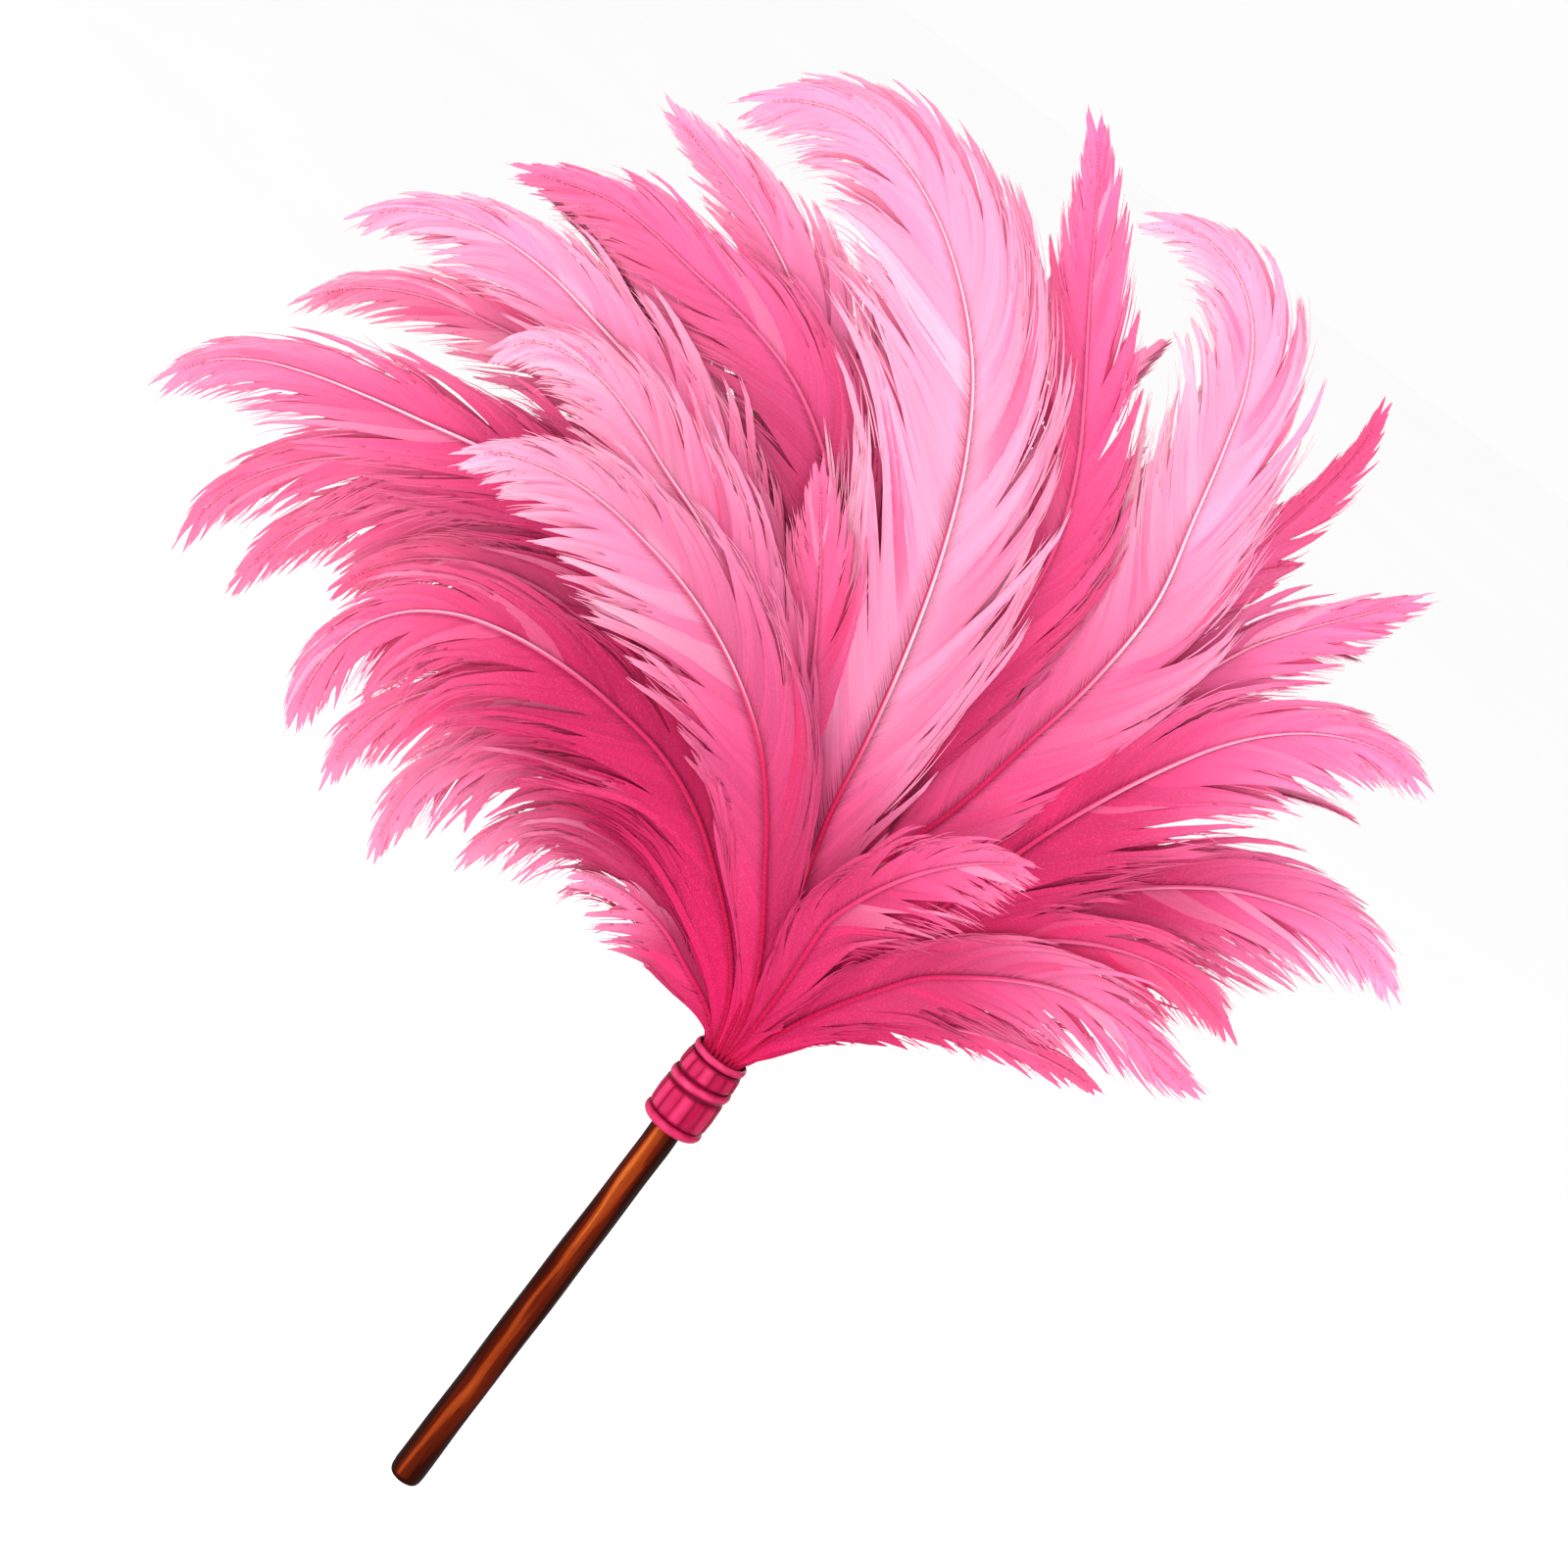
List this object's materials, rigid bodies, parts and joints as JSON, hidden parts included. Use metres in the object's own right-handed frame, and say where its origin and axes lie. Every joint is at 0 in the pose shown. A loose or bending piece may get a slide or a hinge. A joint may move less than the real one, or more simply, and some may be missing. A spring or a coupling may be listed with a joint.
{
  "type": "feather duster",
  "caption": "Hand duster with a slim turned wooden handle, a fluted barrel collar and a wide leaning fountain of long curling dyed plumes.",
  "frame": {"origin": "centre of the handle's flat butt end", "axes": "+Z along the handle toward the plumes, +X to the right of the front view, the front view looks along +Y"},
  "size_m": [0.527, 0.3895, 0.6313],
  "materials": {
    "handle_wood": "dark reddish brown stained hardwood under gloss lacquer",
    "collar": "raspberry pink, semi-gloss, fluted",
    "collar_trim": "lighter raspberry pink, semi-gloss",
    "glue": "set amber glue, hidden in the collar",
    "wire": "soft drawn wire, hidden in the collar",
    "plume_pale": "dyed ostrich plume, pale pink, soft sheen",
    "plume_mid": "dyed ostrich plume, mid pink, soft sheen",
    "plume_deep": "dyed ostrich plume, deep pink, soft sheen"
  },
  "bodies": {
    "root": {"handle": "handle_wood", "collar_sleeve": "collar", "collar_top_rim": "collar_trim", "collar_mid_band": "collar_trim", "collar_bottom_rim": "collar", "glue_plug": "glue", "binding_wire": "wire", "feather_centre_tall": "plume_pale", "feather_right_hooked": "plume_pale", "feather_front_left_pale": "plume_pale", "feather_left_pale_second": "plume_pale", "feather_left_upper": "plume_pale", "feather_left_upper_under": "plume_mid", "feather_left_far": "plume_pale", "feather_left_far_under": "plume_mid", "feather_left_far_lower": "plume_deep", "feather_left_curl": "plume_mid", "feather_left_curl_under": "plume_deep", "feather_left_low": "plume_deep", "feather_left_low_short": "plume_deep", "feather_left_neck_short": "plume_deep", "feather_top_left_dark": "plume_mid", "feather_top_left_light": "plume_pale", "feather_top_right_dark": "plume_mid", "feather_right_pointed": "plume_deep", "feather_right_upper": "plume_mid", "feather_right_middle": "plume_mid", "feather_right_lower": "plume_mid", "feather_right_low": "plume_mid", "feather_right_neck_short": "plume_deep", "feather_front_right_short": "plume_mid", "feather_centre_inner": "plume_deep", "feather_left_inner": "plume_mid", "feather_right_low_inner": "plume_deep", "feather_back_crown_1": "plume_mid", "feather_back_crown_2": "plume_mid", "feather_back_upper_1": "plume_mid", "feather_back_upper_2": "plume_mid", "feather_back_upper_3": "plume_mid", "feather_back_upper_4": "plume_mid", "feather_back_upper_5": "plume_mid", "feather_back_middle_1": "plume_mid", "feather_back_middle_2": "plume_mid", "feather_back_middle_3": "plume_mid", "feather_back_middle_4": "plume_mid", "feather_back_middle_5": "plume_mid", "feather_back_middle_6": "plume_mid", "feather_back_middle_7": "plume_mid", "feather_back_low_1": "plume_mid", "feather_back_low_2": "plume_mid", "feather_back_low_3": "plume_mid", "feather_back_low_4": "plume_mid", "feather_back_low_5": "plume_mid"}
  },
  "joints": []
}
